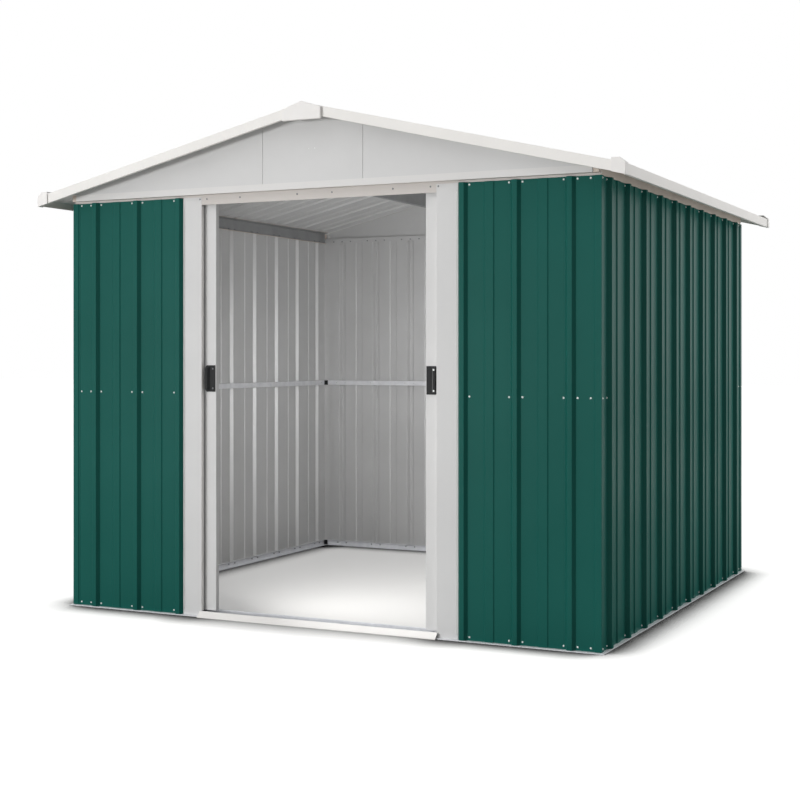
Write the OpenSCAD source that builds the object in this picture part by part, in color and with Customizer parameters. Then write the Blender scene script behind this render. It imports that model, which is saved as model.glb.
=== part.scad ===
// Apex metal storage shed with two sliding doors.
// +Z is up, the doors face -Y, and the origin is on the ground at the centre of the footprint.
// A wall is drawn in its own frame: u runs along it, m runs inwards from its outer face, z is up.

/* [Walls] */
// Width between the outer faces of the side walls
wall_w = 2248; // [1800:1:3200]
// Depth between the outer faces of the front and rear walls
wall_d = 2037; // [1400:1:3200]
// Height of the top edge of the wall panels
wall_h = 1630; // [1500:1:2100]
// Thickness of the ribbed sheet
sheet_t = 1; // [0.6:0.1:1.5]

/* [Ribs] */
// Spacing of the main ribs
rib_pitch = 203; // [180:1:240]
// How far a main rib stands out
rib_h = 14; // [8:0.5:18]
// Width of a main rib where it meets the sheet
rib_foot = 38; // [30:1:46]
// Width of the flat on top of a main rib
rib_top = 18; // [10:1:24]
// How far the shallow band between two ribs stands out
band_h = 3.5; // [1:0.5:6]
// Width of the shallow band at its foot
band_foot = 40; // [24:1:60]
// Distance from the front right corner to the first rib of the side wall
side_rib_start = 86.5; // [60:0.5:140]

/* [Roof] */
// Rise of the roof for each millimetre across
roof_slope = 0.235; // [0.15:0.005:0.4]
// Overhang of the eaves past the side walls
eave_over = 112.5; // [60:0.5:160]
// Overhang of the verges past the front and rear walls
verge_over = 86; // [50:1:140]
// Height of the top edge of the eave above the top of the wall panels
eave_rise = 27; // [20:1:40]
// Height of the white trim round the roof
trim_h = 38; // [30:1:60]
// Depth of the two beams below the roof
beam_h = 67; // [40:1:90]
// Distance of each beam from the ridge
beam_x = 424; // [300:1:520]

/* [Doorway] */
// Clear width between the jambs
door_opening = 1010; // [800:1:1200]
// Width of the face of a jamb
jamb_w = 85; // [60:1:110]
// Height of the underside of the rail over the doorway
header_z = 1600; // [1450:1:1610]
// Depth of the fold down the inner edge of a jamb
jamb_fold = 15; // [8:1:16]

/* [Doors] */
// Width of one leaf
leaf_w = 530; // [460:1:600]
// Thickness of a leaf
leaf_t = 20; // [14:1:22]
// Distance of the leaf behind the outer face of the wall
leaf_set = 22; // [21:0.5:26]
// How far an open leaf shows past its jamb
leaf_reveal = 53; // [50:1:70]
// Height of the bottom edge of a leaf
leaf_z = 24; // [22:1:30]
// Width of a door handle
handle_w = 43; // [30:1:43]
// Height of a door handle
handle_h = 103; // [80:1:140]
// Height of the lower end of a handle
handle_z = 874; // [800:1:1000]

/* [Frame] */
// Thickness of the folded frame sections
frame_t = 1.2; // [1:0.1:2]
// Height of the floor rail
floor_rail_h = 26; // [20:1:40]
// Width of the foot that shows outside the walls
foot_out = 16; // [15:1:24]
// Thickness of that folded foot
foot_t = 4; // [3:0.5:6]
// Depth of the front rail that carries the doors
track_d = 60; // [54:1:80]
// Height of the middle rails
mid_rail_z = 857; // [700:1:1000]
// Face height of a middle rail
mid_rail_h = 24; // [16:1:40]
// Depth of a middle rail
mid_rail_d = 14; // [8:1:14]
// Height of the band at the foot of the gable
gable_band = 26; // [18:1:40]
// How far the gable band stands in front of the wall
gable_out = 20; // [16:1:30]
// How far the gable stops short of each corner
gable_inset = 24; // [16:1:40]
// Distance of the two seams of the gable from the middle
gable_seam = 215; // [150:1:300]

/* [Hidden] */

green = "#1f564c";
white = "#dcdcda";
grey = "#b9bbbb";
dark = "#2b2c2d";

gap = 0.3;             // working gap between neighbours that don't touch
seam = 25;             // distance of a seam from the rib beside it
trim_raise = 4;        // how far a corner trim stands out from the walls
trim_w = 23;           // width of the raised part of a corner trim on each wall
trim_foot = 4;
half_w = wall_w / 2;
half_d = wall_d / 2;
in_t = sheet_t + frame_t;
floor_rail_top = 8;    // width of the fold along the top of a floor rail

// roof: the top plane of the trims runs from the ridge down to the eaves
eave_x = half_w + eave_over;
verge_y = half_d + verge_over;
eave_z = wall_h + eave_rise;
roof_a = atan(roof_slope);
ridge_z = eave_z + eave_x * roof_slope;
slope_len = eave_x / cos(roof_a);
lip = 26;              // width of the trim that lies on the roof
roof_flat_n = -(frame_t + gap + rib_h);
roof_under_n = roof_flat_n - sheet_t;
ridge_cap_w = 80;

// doorway
jamb_in = door_opening / 2;
jamb_out = jamb_in + jamb_w;
panel_end = jamb_out + 1;
leaf_lead = jamb_in - leaf_reveal;
leaf_top = header_z + 5;
leaf_mid = leaf_set + leaf_t / 2;
leaf_wall = 1;
track_lip_z = leaf_top + 7;
track_h = 28;
track_half = 13;
slot_half = 5;
stem_half = 3;
gable_base_z = wall_h + 8;
gable_bottom = gable_base_z + frame_t;
gable_m = -gable_out + frame_t;
gable_end = half_w - gable_inset;
rail_low = wall_h - 16;      // lower edge of the side and rear top rails

// height of the top plane of the roof at a distance from the ridge
function roof_z(x) = ridge_z - abs(x) * roof_slope;
// the same for the underside of the sheets
function under_z(x) = roof_z(x) + roof_under_n / cos(roof_a);

function unit(v) = v / norm(v);
function left_of(v) = [-v[1], v[0]];
function side_at(p, i) = left_of(unit(p[i] - p[i - 1]));
function shift_at(p, i, t) =
    i == 0 ? p[0] + t * side_at(p, 1)
    : i == len(p) - 1 ? p[i] + t * side_at(p, i)
    : p[i] + t * (side_at(p, i) + side_at(p, i + 1)) / (1 + side_at(p, i) * side_at(p, i + 1));
// outline of a sheet of thickness t that lies to the left of the path p
function folded(p, t) = concat(p, [for (i = [len(p) - 1:-1:0]) shift_at(p, i, t)]);

// path across a ribbed sheet from u0 to u1, with main ribs at start + k * pitch and none past the limit
function rib_points(c) = [
    [c - rib_foot / 2, 0], [c - rib_top / 2, -rib_h], [c + rib_top / 2, -rib_h], [c + rib_foot / 2, 0]];
function band_points(c) = [
    [c - band_foot / 2, 0], [c - band_foot / 2 + band_h, -band_h],
    [c + band_foot / 2 - band_h, -band_h], [c + band_foot / 2, 0]];
function ribbed_path(u0, u1, start, pitch, limit) = concat(
    [[u0, 0]],
    [for (k = [ceil((u0 - start) * 2 / pitch):1:floor((u1 - start) * 2 / pitch)])
        let (c = start + k * pitch / 2, w = (k % 2 == 0 ? rib_foot : band_foot) / 2)
        if (c - w > u0 && c + w < u1 && abs(c) + w < limit)
            for (q = k % 2 == 0 ? rib_points(c) : band_points(c)) q],
    [[u1, 0]]);

// wall frames
module front() { translate([0, -half_d, 0]) children(); }
module rear() { rotate([0, 0, 180]) translate([0, -half_d, 0]) children(); }
module right() { rotate([0, 0, 90]) translate([0, -half_w, 0]) children(); }
module left() { rotate([0, 0, -90]) translate([0, -half_w, 0]) children(); }

// a section drawn as [m, z], run along u from u0 to u1
module run(u0, u1) {
    translate([u0, 0, 0])
        rotate([90, 0, 90])
            linear_extrude(u1 - u0)
                children();
}

// a section drawn as [x, z], run along y from y0 to y1
module run_y(y0, y1) {
    translate([0, y1, 0])
        rotate([90, 0, 0])
            linear_extrude(y1 - y0)
                children();
}

module section(p, t = frame_t) { polygon(folded(p, t)); }

module both() {
    children();
    rotate([0, 0, 180]) children();
}

module mirrored() {
    children();
    mirror([1, 0, 0]) children();
}

// ---- walls ----
module wall_sheet(u0, u1, start, corner) {
    color(green)
        translate([0, 0, foot_t])
            linear_extrude(wall_h - foot_t)
                polygon(folded(ribbed_path(u0, u1, start, rib_pitch, corner - trim_w - trim_foot), sheet_t));
}

module front_panel() { wall_sheet(-half_w, -panel_end, 0, half_w); }
module front_panel_left() { front() front_panel(); }
module front_panel_right() { mirror([1, 0, 0]) front() front_panel(); }

module rear_wall_left() { rear() wall_sheet(seam + gap, half_w, 0, half_w); }
module rear_wall_right() { rear() wall_sheet(-half_w, seam, 0, half_w); }

side_start = -half_d + side_rib_start;
side_len = wall_d - 2 * (sheet_t + gap);
side_seam = side_start + floor((half_d - side_rib_start) / rib_pitch) * rib_pitch + seam;
module side_first() { wall_sheet(-side_len / 2, side_seam, side_start, half_d); }
module side_second() { wall_sheet(side_seam + gap, side_len / 2, side_start, half_d); }
module right_wall_front() { right() side_first(); }
module right_wall_rear() { right() side_second(); }
module left_wall_rear() { left() side_first(); }
module left_wall_front() { left() side_second(); }

// raised angle over each corner, its feet flat on the two walls
module corner_trim() {
    d = trim_raise;
    w = trim_w;
    e = sheet_t;
    translate([-half_w, -half_d, foot_t])
        linear_extrude(wall_h - foot_t)
            polygon(folded([[-e, w + trim_foot], [-e, w], [-d, w - d + e], [-d, -d],
                [w - d + e, -d], [w, -e], [w + trim_foot, -e]], e));
}
module corner_trims() { color(green) both() mirrored() corner_trim(); }

// ---- floor rails ----
module rail_foot(u0, u1, depth) {
    run(u0, u1) translate([-foot_out, 0]) square([foot_out + sheet_t, foot_t]);
    run(u0, u1) translate([sheet_t, 0]) square([depth - sheet_t, frame_t]);
}
module rail_web(u0, u1, top) {
    run(u0, u1)
        section([[in_t, 0], [in_t, top - frame_t], [in_t + floor_rail_top, top - frame_t]]);
}
foot_len = wall_w + 2 * foot_out;
front_web_h = 22;
module floor_rail_front() {
    color(grey) front() {
        rail_foot(-foot_len / 2, foot_len / 2, track_d);
        run(-half_w + in_t, half_w - in_t) translate([sheet_t, 0]) square([frame_t, front_web_h]);
        run(-half_w + in_t, half_w - in_t)
            translate([leaf_mid - frame_t / 2, 0]) square([frame_t, 16]);
        run(-half_w + in_t, half_w - in_t)
            translate([track_d - frame_t, 0]) square([frame_t, front_web_h]);
    }
}
rail_d = 22;
module floor_rail_rear() {
    color(grey) rear() {
        rail_foot(-foot_len / 2, foot_len / 2, rail_d);
        rail_web(-half_w + in_t + gap, half_w - in_t - gap, floor_rail_h);
    }
}
side_rail_u0 = -half_d + track_d + gap;
module floor_rail_right() {
    color(grey) right() {
        rail_foot(side_rail_u0, half_d - rail_d - gap, rail_d);
        rail_web(side_rail_u0, half_d - rail_d - gap, floor_rail_h);
    }
}
module floor_rail_left() { mirror([1, 0, 0]) floor_rail_right(); }

// bent ramp in front of the doorway
ramp_over = 6;
ramp_d = 25;
ramp_t = 1.5;
module threshold_ramp() {
    color(white) front()
        run(-jamb_in - ramp_over, jamb_in + ramp_over)
            section([[-gap, leaf_z - 8], [-gap, leaf_z - 2], [-gap - 4, leaf_z - 2],
                [-ramp_d, ramp_t + 1.5], [-ramp_d, 0]], ramp_t);
}

// ---- doorway ----
joggle = 0.6;
module jamb() {
    lap = 15;
    fold_z0 = front_web_h + 2 * gap;
    fold_z1 = header_z - 2 * gap;
    color(white) front() {
        translate([-panel_end + joggle + sheet_t, 0, foot_t])
            cube([jamb_w - joggle - sheet_t + 1, frame_t - 0.2, wall_h - foot_t]);
        translate([0, 0, fold_z0])
            linear_extrude(fold_z1 - fold_z0)
                polygon(folded([[-panel_end - lap, sheet_t], [-panel_end + joggle, sheet_t],
                    [-panel_end + joggle + sheet_t, 0], [-jamb_in, 0], [-jamb_in, jamb_fold]],
                    sheet_t));
    }
}
module door_jamb_left() { jamb(); }
module door_jamb_right() { mirror([1, 0, 0]) jamb(); }

// the front and rear top rails carry the gable band
module end_top_rail(low) {
    web_end = half_w - in_t - gap;
    color(white) {
        run(-web_end, web_end) translate([sheet_t, low]) square([frame_t, gable_bottom - low]);
        run(-gable_end, gable_end)
            section([[in_t, low], [in_t, gable_bottom], [gable_m, gable_bottom],
                [gable_m, gable_base_z + gable_band]]);
        mirrored()
            run(gable_end + 1, web_end)
                translate([sheet_t, gable_base_z]) square([frame_t, gable_band]);
    }
}
module front_top_rail() { front() end_top_rail(header_z); }
module rear_top_rail() { rear() end_top_rail(rail_low); }

// channel with a slot below, behind the front top rail
module door_track_top() {
    top = track_lip_z + track_h;
    a = leaf_mid - track_half;
    b = leaf_mid + track_half;
    color(grey) front()
        run(-half_w + in_t + 20, half_w - in_t - 20) {
            section([[in_t + frame_t, top - 24], [in_t + frame_t, top - frame_t], [b - frame_t, top - frame_t],
                [b - frame_t, track_lip_z + frame_t], [leaf_mid + slot_half, track_lip_z + frame_t]], frame_t);
            section([[a, top - 0.5 * frame_t], [a, track_lip_z], [leaf_mid - slot_half, track_lip_z]], frame_t);
        }
}

// ---- side top rails: a web with a flange under the roof ----
module side_top_rail() {
    top = under_z(half_w - sheet_t) - gap / 2;
    fl = 22;
    color(grey) right()
        run(-half_d + in_t + gap, half_d - in_t - gap)
            section([[in_t + 8, rail_low], [sheet_t, rail_low],
                [sheet_t, top], [sheet_t + fl, top + fl * roof_slope]], -frame_t);
}
module right_top_rail() { side_top_rail(); }
module left_top_rail() { mirror([1, 0, 0]) side_top_rail(); }

// ---- middle rails: channels open towards the wall ----
module mid_rail(u0, u1) {
    m1 = sheet_t + mid_rail_d;
    color(grey)
        run(u0, u1)
            section([[sheet_t, mid_rail_z + mid_rail_h], [m1, mid_rail_z + mid_rail_h],
                [m1, mid_rail_z], [sheet_t, mid_rail_z]], -frame_t);
}
corner_clear = sheet_t + mid_rail_d + gap;
module mid_rail_right() { right() mid_rail(-half_d + sheet_t + gap, half_d - corner_clear); }
module mid_rail_left() { mirror([1, 0, 0]) mid_rail_right(); }
module mid_rail_rear() { rear() mid_rail(-half_w + sheet_t + gap, half_w - sheet_t - gap); }
module mid_rails_front() {
    mirrored() front() mid_rail(-half_w + corner_clear, -panel_end - 16);
}

// small angles that join the rails in the rear corners
conn_leg = 14;
conn_t = 2;
module connector(inner, z0, h) {
    translate([half_w - inner, half_d - inner, z0])
        linear_extrude(h)
            polygon([[0, 0], [-conn_leg, 0], [-conn_leg, -conn_t], [-conn_t, -conn_t],
                [-conn_t, -conn_leg], [0, -conn_leg]]);
}
module rail_connectors() {
    color(dark) mirrored() {
        connector(sheet_t + mid_rail_d, mid_rail_z, mid_rail_h);
        connector(in_t + floor_rail_top, frame_t + 1, floor_rail_h - frame_t - 1);
    }
}

// ---- gables ----
module gable_sheet(x0, x1) {
    xs = x0 < 0 && x1 > 0 ? [x0, 0, x1] : [x0, x1];
    color(white)
        translate([0, gable_m + sheet_t, 0])
            rotate([90, 0, 0])
                linear_extrude(sheet_t)
                    polygon(concat([[x0, gable_bottom]], [for (x = xs) [x, under_z(x) - gap]],
                        [[x1, gable_bottom]]));
}
module gable_front_left() { front() gable_sheet(-gable_end, -gable_seam - gap / 2); }
module gable_front_centre() { front() gable_sheet(-gable_seam + gap / 2, gable_seam - gap / 2); }
module gable_front_right() { front() gable_sheet(gable_seam + gap / 2, gable_end); }
module gable_rear_left() { rear() gable_sheet(gable_seam + gap / 2, gable_end); }
module gable_rear_centre() { rear() gable_sheet(-gable_seam + gap / 2, gable_seam - gap / 2); }
module gable_rear_right() { rear() gable_sheet(-gable_end, -gable_seam - gap / 2); }

// ---- roof ----
module roof_beam() {
    y1 = half_d - gable_m - sheet_t - gap;
    fl = 26;
    top = under_z(beam_x) - gap;
    color(grey)
        run_y(-y1, y1)
            section([[beam_x + fl, top - fl * roof_slope], [beam_x, top], [beam_x, top - beam_h],
                [beam_x + fl, top - beam_h], [beam_x + fl, top - beam_h + 8]], frame_t);
}
module roof_beam_right() { roof_beam(); }
module roof_beam_left() { mirror([1, 0, 0]) roof_beam(); }

// the right slope, drawn as [y, n] and run down the slope
module slope() { translate([0, 0, ridge_z]) rotate([0, roof_a, 0]) children(); }
module roof_sheet(y0, y1) {
    s0 = -roof_under_n * tan(roof_a) + gap;
    s1 = slope_len - frame_t - gap - sin(roof_a) * trim_h / 2;
    color(green) slope()
        translate([0, 0, roof_flat_n])
            run(s0, s1)
                mirror([0, 1])
                    polygon(folded(ribbed_path(y0, y1, side_start, rib_pitch, verge_y - lip), sheet_t));
}
roof_y1 = verge_y - frame_t - gap;
module roof_right_front() { roof_sheet(-roof_y1, side_seam); }
module roof_right_rear() { roof_sheet(side_seam + gap, roof_y1); }
module roof_left_rear() { rotate([0, 0, 180]) roof_right_front(); }
module roof_left_front() { rotate([0, 0, 180]) roof_right_rear(); }

module ridge_cap() {
    x = ridge_cap_w;
    color(white)
        run_y(-verge_y + lip + gap, verge_y - lip - gap)
            section([[-x, roof_z(x)], [0, ridge_z], [x, roof_z(x)]], -frame_t);
}

// moulded cover over each end of the ridge
cap_x = 82;
cap_low = 66;
cap_side = 22;
cap_rise = 4;
cap_t = 12;
module ridge_end_cap() {
    y = -verge_y - gap;
    hood_x = 0.55 * cap_x;
    run_y(y - cap_t, y)
        polygon([[-cap_x, ridge_z - cap_low], [-cap_x, ridge_z - cap_side], [0, ridge_z + cap_rise],
            [cap_x, ridge_z - cap_side], [cap_x, ridge_z - cap_low]]);
    run_y(y - 1, y + 2 * lip)
        polygon([[-hood_x, roof_z(hood_x) + gap], [0, ridge_z + cap_rise], [hood_x, roof_z(hood_x) + gap],
            [0, ridge_z + gap]]);
}
module ridge_end_caps() { color(white) both() ridge_end_cap(); }

module fascia_side() {
    n = -trim_h * cos(roof_a);
    slope()
        run(-n * tan(roof_a) + gap, slope_len - trim_h * sin(roof_a))
            section([[-verge_y + lip, 0], [-verge_y, 0], [-verge_y, n], [-verge_y + 12, n]], frame_t);
}
module fascia_front() { color(white) mirrored() fascia_side(); }
module fascia_rear() { rotate([0, 0, 180]) fascia_front(); }

module eave_trim() {
    x = eave_x;
    run_y(-verge_y + lip + gap, verge_y - lip - gap)
        section([[x - 12, eave_z - trim_h], [x, eave_z - trim_h], [x, eave_z], [x - lip, eave_z + lip * roof_slope]],
            frame_t);
}
module eave_trims() { color(white) mirrored() eave_trim(); }

// moulded cap over each corner of the roof
corner_long = 46;
corner_wide = 32;
corner_up = 7.5;
corner_front = 4;
corner_side = 2.5;
module roof_corner_cap() {
    x0 = eave_x - corner_long;
    x1 = eave_x + gap;
    x2 = x1 + corner_side;
    y0 = -verge_y - gap - corner_front;
    z0 = eave_z - trim_h - 2;
    top = roof_z(x0) + corner_up;
    difference() {
        run_y(y0, y0 + corner_wide)
            polygon([[x0, z0], [x2, z0], [x2, eave_z + gap + 1], [x0 + 0.6 * corner_long, top], [x0, top]]);
        run_y(y0 + corner_front, y0 + corner_wide + 1)
            polygon([[x0 - 1, z0 - 1], [x1, z0 - 1], [x1, roof_z(x1) + gap], [x0 - 1, roof_z(x0 - 1) + gap]]);
    }
}
module roof_corner_caps() { color(white) both() mirrored() roof_corner_cap(); }

// ---- doors, drawn open; the left leaf is the one at -X ----
module leaf() {
    x0 = -leaf_lead - leaf_w;
    color(white) front() translate([x0, leaf_set, leaf_z])
        difference() {
            cube([leaf_w, leaf_t, leaf_top - leaf_z]);
            translate([leaf_wall, leaf_wall, leaf_wall])
                cube([leaf_w - 2 * leaf_wall, leaf_t - 2 * leaf_wall, leaf_top - leaf_z - 2 * leaf_wall]);
            translate([14, leaf_wall, 14])
                cube([leaf_w - 28, leaf_t, leaf_top - leaf_z - 28]);
        }
}
module door_left() { leaf(); }
module door_right() { mirror([1, 0, 0]) leaf(); }

// hangers in the track above and slotted glides over the guide rib below
hanger_l = 50;
hanger_h = 16;
glide_l = 40;
glide_h = 12;
module runners() {
    for (x = [-leaf_lead - leaf_w + 50, -leaf_lead - 50 - hanger_l])
        front() {
            translate([x, leaf_mid - 10, track_lip_z + frame_t + gap]) cube([hanger_l, 20, hanger_h]);
            translate([x + 10, leaf_mid - stem_half, leaf_top])
                cube([hanger_l - 20, 2 * stem_half, track_lip_z + frame_t + gap - leaf_top + 1]);
        }
    for (x = [-leaf_lead - leaf_w + 55, -leaf_lead - 55 - glide_l])
        front() translate([x, leaf_mid - 7, leaf_z - glide_h])
            difference() {
                cube([glide_l, 14, glide_h]);
                translate([-1, 7 - 2, -1]) cube([glide_l + 2, 4, 7]);
            }
}
module door_runners_left() { color(dark) runners(); }
module door_runners_right() { mirror([1, 0, 0]) door_runners_left(); }

// moulded pull: a flat plate with a raised bar along its inner side
plate_t = 4;
handle_set = 4;
grip_d = 14;
grip_w = 14;
grip_inset = 1;
grip_end = 8;
module handle() {
    x0 = -leaf_lead - handle_set - handle_w;
    c = 6;
    color(dark) front() translate([x0, leaf_set - plate_t, handle_z]) {
        rotate([90, 0, 0]) translate([0, 0, -plate_t])
            linear_extrude(plate_t)
                polygon([[0, c], [c, 0], [handle_w, 0], [handle_w, handle_h], [c, handle_h], [0, handle_h - c]]);
        translate([grip_inset, plate_t - grip_d, grip_end])
            cube([grip_w, grip_d, handle_h - 2 * grip_end]);
    }
}
module door_handle_left() { handle(); }
module door_handle_right() { mirror([1, 0, 0]) handle(); }

floor_rail_front();
floor_rail_rear();
floor_rail_left();
floor_rail_right();
threshold_ramp();
front_panel_left();
front_panel_right();
left_wall_front();
left_wall_rear();
right_wall_front();
right_wall_rear();
rear_wall_left();
rear_wall_right();
corner_trims();
door_jamb_left();
door_jamb_right();
front_top_rail();
rear_top_rail();
left_top_rail();
right_top_rail();
door_track_top();
mid_rail_left();
mid_rail_right();
mid_rail_rear();
mid_rails_front();
rail_connectors();
gable_front_left();
gable_front_centre();
gable_front_right();
gable_rear_left();
gable_rear_centre();
gable_rear_right();
roof_beam_left();
roof_beam_right();
roof_left_front();
roof_left_rear();
roof_right_front();
roof_right_rear();
ridge_cap();
ridge_end_caps();
fascia_front();
fascia_rear();
eave_trims();
roof_corner_caps();
door_left();
door_right();
door_runners_left();
door_runners_right();
door_handle_left();
door_handle_right();
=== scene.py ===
import math
import bpy
from mathutils import Matrix, Vector


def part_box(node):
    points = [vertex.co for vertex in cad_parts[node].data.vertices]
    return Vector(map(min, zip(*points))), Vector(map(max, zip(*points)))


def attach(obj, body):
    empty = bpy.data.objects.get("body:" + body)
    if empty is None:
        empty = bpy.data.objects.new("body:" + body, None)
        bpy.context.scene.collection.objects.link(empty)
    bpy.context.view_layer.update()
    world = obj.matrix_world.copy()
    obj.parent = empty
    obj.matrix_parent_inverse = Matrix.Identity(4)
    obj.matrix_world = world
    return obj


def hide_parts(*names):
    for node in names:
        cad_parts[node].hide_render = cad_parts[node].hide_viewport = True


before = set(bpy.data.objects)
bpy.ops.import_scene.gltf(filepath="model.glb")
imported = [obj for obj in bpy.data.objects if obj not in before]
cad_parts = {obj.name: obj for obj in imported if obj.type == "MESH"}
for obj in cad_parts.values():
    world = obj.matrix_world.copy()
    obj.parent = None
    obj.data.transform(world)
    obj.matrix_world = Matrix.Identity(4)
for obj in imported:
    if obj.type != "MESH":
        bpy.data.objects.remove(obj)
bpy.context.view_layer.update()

# Apex metal shed: ribbed green sheet, white trims and two sliding doors. Lengths are in metres.
# Z is up and the doors face -Y. Every piece is drawn flat, folded, and then turned into its place.

bpy.ops.object.select_all(action="DESELECT")

# sizes of the sheets, and of the walls and the roof as the frame gives them

sheetSpec = {
    "thick": 0.001,
    "ribPitch": 0.203,
    "ribFoot": 0.038,
    "ribTop": 0.018,
    "ribHeight": 0.014,
    "bandFoot": 0.040,
    "bandHeight": 0.0035,
    "sideRibStart": 0.0865,  # from the front right corner to the first rib of that wall
    "bend": 0.0007,          # rounding of every fold
    "cornerClear": 0.027,    # no rib comes closer than this to a corner
    "footCut": 0.0012,       # the end of a sheet may cut this much off the foot of a rib
}
frameSpec = {"thick": 0.0012, "bend": 0.0011, "gap": 0.0003}

frontLow, frontHigh = (Vector(p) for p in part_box("front_panel_right"))
halfW = frontHigh.x
halfD = -frontLow.y - sheetSpec["ribHeight"]
wallFoot = frontLow.z
wallTop = frontHigh.z
panelEnd = frontLow.x
trimLow, trimHigh = (Vector(p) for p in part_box("eave_trims"))
eaveX = trimHigh.x
trimHeight = 0.038
eaveZ = trimLow.z + trimHeight
ridgeZ = Vector(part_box("ridge_cap")[1]).z
vergeY = -Vector(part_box("fascia_front")[0]).y
roofSlope = (ridgeZ - eaveZ) / eaveX
slopeAngle = math.atan(roofSlope)
slopeLength = eaveX / math.cos(slopeAngle)
roofFlat = -0.0155           # flats of the roof sheet below the top plane of the trims
sideSeam = Vector(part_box("right_wall_front")[1]).y
sideStart = -halfD + sheetSpec["sideRibStart"]
innerFace = sheetSpec["thick"] + frameSpec["thick"]


def roofTop(x):
    return ridgeZ - abs(x) * roofSlope


# underside of the roof sheet
def roofUnder(x):
    return roofTop(x) + (roofFlat - sheetSpec["thick"]) / math.cos(slopeAngle)


# finishes

def newMaterial(name):
    material = bpy.data.materials.new(name)
    material.use_nodes = True
    return material, material.node_tree


# adds a node; a value given as a socket is linked, and any other is set on the input itself
def addNode(tree, kind, values, **settings):
    node = tree.nodes.new("ShaderNode" + kind)
    for key, value in settings.items():
        setattr(node, key, value)
    for key, value in values.items():
        if isinstance(value, bpy.types.NodeSocket):
            tree.links.new(value, node.inputs[key])
        else:
            node.inputs[key].default_value = value
    return node


# 0 to 255 on the screen to linear light
def linear(tone):
    return [c / 255 / 12.92 if c / 255 <= 0.04045 else ((c / 255 + 0.055) / 1.055) ** 2.4 for c in tone]


finishShape = {"toneFrom": 0.3, "toneTo": 0.7, "toneDetail": 4, "grainDetail": 3, "grainDepth": 0.0004}


# one recipe for paint, zinc and plastic: two noises for tone and gloss, one fine bump
def makeFinish(name, spec):
    material, tree = newMaterial(name)
    shader = tree.nodes["Principled BSDF"]
    place = addNode(tree, "TexCoord", {}).outputs["Object"]
    tone = addNode(tree, "TexNoise", {"Scale": spec["toneScale"], "Detail": finishShape["toneDetail"],
                                      "Vector": place}).outputs["Fac"]
    ramp = addNode(tree, "ValToRGB", {"Fac": tone})
    for element, end, shade in zip(ramp.color_ramp.elements, ("toneFrom", "toneTo"), ("dark", "light")):
        element.position = finishShape[end]
        element.color = (*linear(spec[shade]), 1)
    fine, coarse = spec["rough"]
    gloss = addNode(tree, "MapRange", {"Value": tone, "To Min": fine, "To Max": coarse})
    grain = addNode(tree, "TexNoise", {"Scale": spec["grainScale"], "Detail": finishShape["grainDetail"],
                                       "Vector": place})
    bump = addNode(tree, "Bump", {"Strength": spec["grain"], "Distance": finishShape["grainDepth"],
                                  "Height": grain.outputs["Fac"]})
    tree.links.new(ramp.outputs["Color"], shader.inputs["Base Color"])
    tree.links.new(gloss.outputs["Result"], shader.inputs["Roughness"])
    tree.links.new(bump.outputs["Normal"], shader.inputs["Normal"])
    shader.inputs["Metallic"].default_value = spec["metal"]
    shader.inputs["Specular IOR Level"].default_value = spec["specular"]
    return material


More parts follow.
